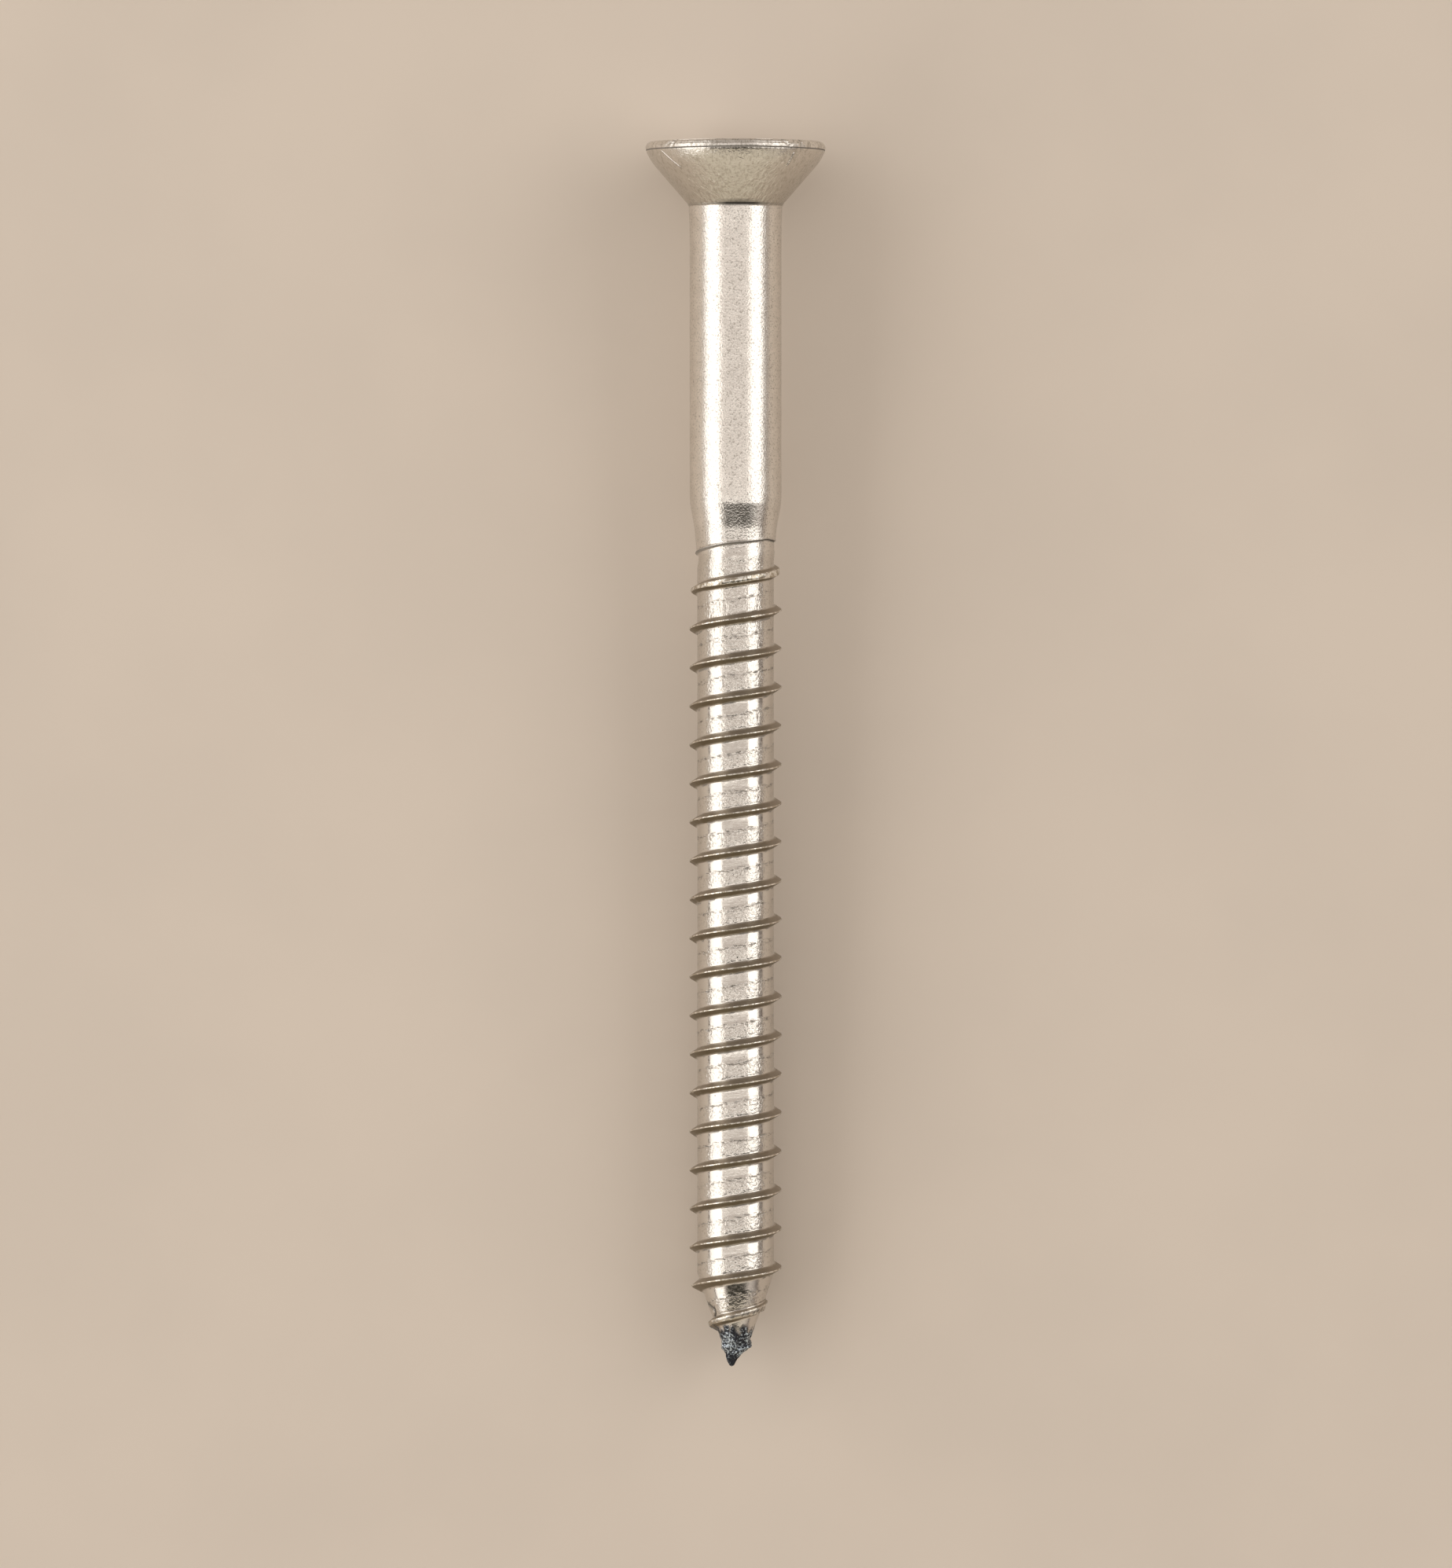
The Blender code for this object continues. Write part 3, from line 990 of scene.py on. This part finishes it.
def steel_relief(graph, field):
    """Fine relief in millimetres, too small for the mesh."""
    smooth = graph.largest(field["root"], graph.times(field["shoulder"], 0.2))
    height = graph.times(field["speckle"], graph.share(smooth, 0.0, 1.0, 0.018, 0.003))
    lower_cone = graph.share(field["height"], -1.2, -3.2, 0.3, 1.0)
    layers = (
        (graph.times(field["score"], field["shoulder"]), 0.006),
        (graph.times(field["mottle"], field["rumpled"]), 0.035),
        (graph.times(field["dashes"], field["seam"]), -0.02),
        (graph.times(field["score"], field["scored"]), 0.045),
        (graph.times(field["drawn"], field["root"]), 0.002),
        (graph.times(field["streaks"], graph.times(field["cone"], lower_cone)), 0.1),
        (field["scratched"], 0.07),
        (graph.times(field["crystals"], field["torn"]), 0.045),
        (field["pits"], -0.02),
    )
    for layer, depth in layers:
        height = graph.plus(height, graph.times(layer, depth))
    return height


def steel():
    """Bright steel: satin shank, polished roots, rougher flanks with painted shade, worn crests, torn point.
    """
    material = bpy.data.materials.new("bright_steel")
    material.use_nodes = True
    graph = Graph(material.node_tree)
    field = steel_fields(graph)
    colour = thread_colour(graph, field, base_colour(graph, field))
    colour = mark_colour(graph, field, colour)
    relief = steel_relief(graph, field)
    bump = graph.node("Bump", {"Strength": 1.0, "Distance": MM, "Height": relief})
    inputs = {"Base Color": colour, "Roughness": steel_roughness(graph, field), "Metallic": 1.0}
    shader = graph.node("BsdfPrincipled", inputs)
    graph.put(shader.inputs["Normal"], bump.outputs[0])
    output = graph.node("OutputMaterial")
    graph.put(output.inputs["Surface"], shader.outputs[0])
    return material


TABLE_TONES = (tone(0.69, 0.61, 0.53), tone(0.72, 0.635, 0.55))


def table_finish():
    material = bpy.data.materials.new("pale_table")
    material.use_nodes = True
    graph = Graph(material.node_tree)
    place = graph.node("TexCoord").outputs["Object"]
    mottle = graph.noise(place, 60.0, 3.0)
    colour = graph.colours(graph.share(mottle, 0.3, 0.7), *TABLE_TONES)
    shader = graph.node("BsdfPrincipled", {"Base Color": colour, "Roughness": 0.6})
    output = graph.node("OutputMaterial")
    graph.put(output.inputs["Surface"], shader.outputs[0])
    return material


# Table, camera and light

REST_NORMAL = Vector((0.0, 0.0391, 0.9992))
TABLE_SIZE = 3.0
TABLE_PLACE = (0.0, -0.0005, -0.0054)
CAMERA_AIM = Vector((-0.00057, -0.0383, 0.0))
CAMERA_DISTANCE = 0.74
CAMERA_LENS = 284.4

# Soft boxes: the angles they span, distance, length, shift along Y and radiance.
LEFT_BOX = (-83.5, -41.6, 0.6, 1.3, 0.15, 1.3)
RIGHT_BOX = (38.6, 72.2, 0.6, 0.8, 0.29, 1.3)
BOX_COLOUR = (1.0, 0.98, 0.94)

# Sky: colours, and the angles that its parts span. Lean is towards the point, side is towards +X.
SKY_TONES = (tone(0.2, 0.165, 0.14), tone(0.76, 0.685, 0.625))
FAR_TONE = tone(0.78, 0.70, 0.57)
STRIP_TONE = tone(1.7, 1.62, 1.52)
STRIP_LEAN = (0.05, 0.08, 0.17, 0.2)
FLAG_TONE = tone(0.5, 0.445, 0.395)
FLAG_LEAN = (-1.4, -1.3, -0.5, -0.35)
HOOD_TONE = tone(0.055, 0.05, 0.04)
HOOD_LEAN = (0.2, 0.26, 0.76, 0.84)
HOOD_SIDE = (-0.72, -0.6, 0.6, 1.5)


def add_table():
    bpy.ops.mesh.primitive_plane_add(size=TABLE_SIZE)
    table = bpy.context.object
    table.name = "table"
    table.rotation_mode = "QUATERNION"
    table.rotation_quaternion = REST_NORMAL.to_track_quat("Z", "Y")
    table.location = TABLE_PLACE
    table.data.materials.append(table_finish())


def add_camera():
    data = bpy.data.cameras.new("camera")
    data.lens = CAMERA_LENS
    camera = bpy.data.objects.new("camera", data)
    bpy.context.scene.collection.objects.link(camera)
    camera.location = CAMERA_AIM + Vector((0.0, 0.0, CAMERA_DISTANCE))
    bpy.context.scene.camera = camera


def add_panel(name, from_angle, to_angle, distance, length, shift, radiance):
    """A soft box over one side. Its angles lean from straight up towards +X, and length runs along Y."""
    middle = math.radians((from_angle + to_angle) / 2)
    half = math.radians(abs(to_angle - from_angle) / 2)
    width = 2 * distance * math.tan(half)
    data = bpy.data.lights.new(name, "AREA")
    data.shape = "RECTANGLE"
    data.size = width
    data.size_y = length
    data.energy = radiance * math.pi * width * length
    data.color = BOX_COLOUR
    panel = bpy.data.objects.new(name, data)
    bpy.context.scene.collection.objects.link(panel)
    away = Vector((math.sin(middle), 0.0, math.cos(middle)))
    panel.location = away * distance + Vector((0.0, CAMERA_AIM.y + shift, 0.0))
    side = Vector((math.cos(middle), 0.0, -math.sin(middle)))
    along = away.cross(side)
    panel.rotation_euler = Matrix((side, along, away)).transposed().to_euler()


def sky_colour(graph):
    """Bright overhead and dim low down, with the bands and patches that the steel reflects."""
    way = graph.node("TexCoord").outputs["Generated"]
    parts = graph.node("SeparateXYZ", {0: way}).outputs
    beyond = graph.times(parts["Y"], -1.0)
    lean = graph.math("ARCTAN2", beyond, parts["Z"])
    side = graph.math("ARCTAN2", parts["X"], parts["Z"])
    colour = graph.colours(graph.share(parts["Z"], 0.0, 0.6), *SKY_TONES)
    far = graph.times(graph.share(beyond, 0.55, 0.75), graph.share(lean, 0.77, 0.85))
    colour = graph.colours(far, colour, FAR_TONE)
    narrow = graph.share(graph.math("ABSOLUTE", side), 0.6, 0.8, 1.0, 0.0)
    strip = graph.times(graph.band(lean, *STRIP_LEAN), narrow)
    colour = graph.colours(strip, colour, STRIP_TONE)
    colour = graph.colours(graph.band(lean, *FLAG_LEAN), colour, FLAG_TONE)
    hood = graph.times(graph.band(lean, *HOOD_LEAN), graph.band(side, *HOOD_SIDE))
    return graph.colours(hood, colour, HOOD_TONE)


def add_sky():
    world = bpy.data.worlds.new("studio")
    bpy.context.scene.world = world
    world.use_nodes = True
    graph = Graph(world.node_tree)
    background = graph.node("Background", {"Color": sky_colour(graph), "Strength": 1.0})
    output = graph.node("OutputWorld")
    graph.put(output.inputs["Surface"], background.outputs[0])


def main():
    mesh = mesh_of(build_skin(), "screw_skin")
    mesh.materials.append(steel())
    screw = bpy.data.objects.new("screw_skin", mesh)
    bpy.context.scene.collection.objects.link(screw)
    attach(screw, "root")
    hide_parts(NODE)

    add_table()
    add_camera()
    add_sky()
    add_panel("soft_box_left", *LEFT_BOX)
    add_panel("soft_box_right", *RIGHT_BOX)
    bpy.context.scene.view_settings.view_transform = "Standard"


main()
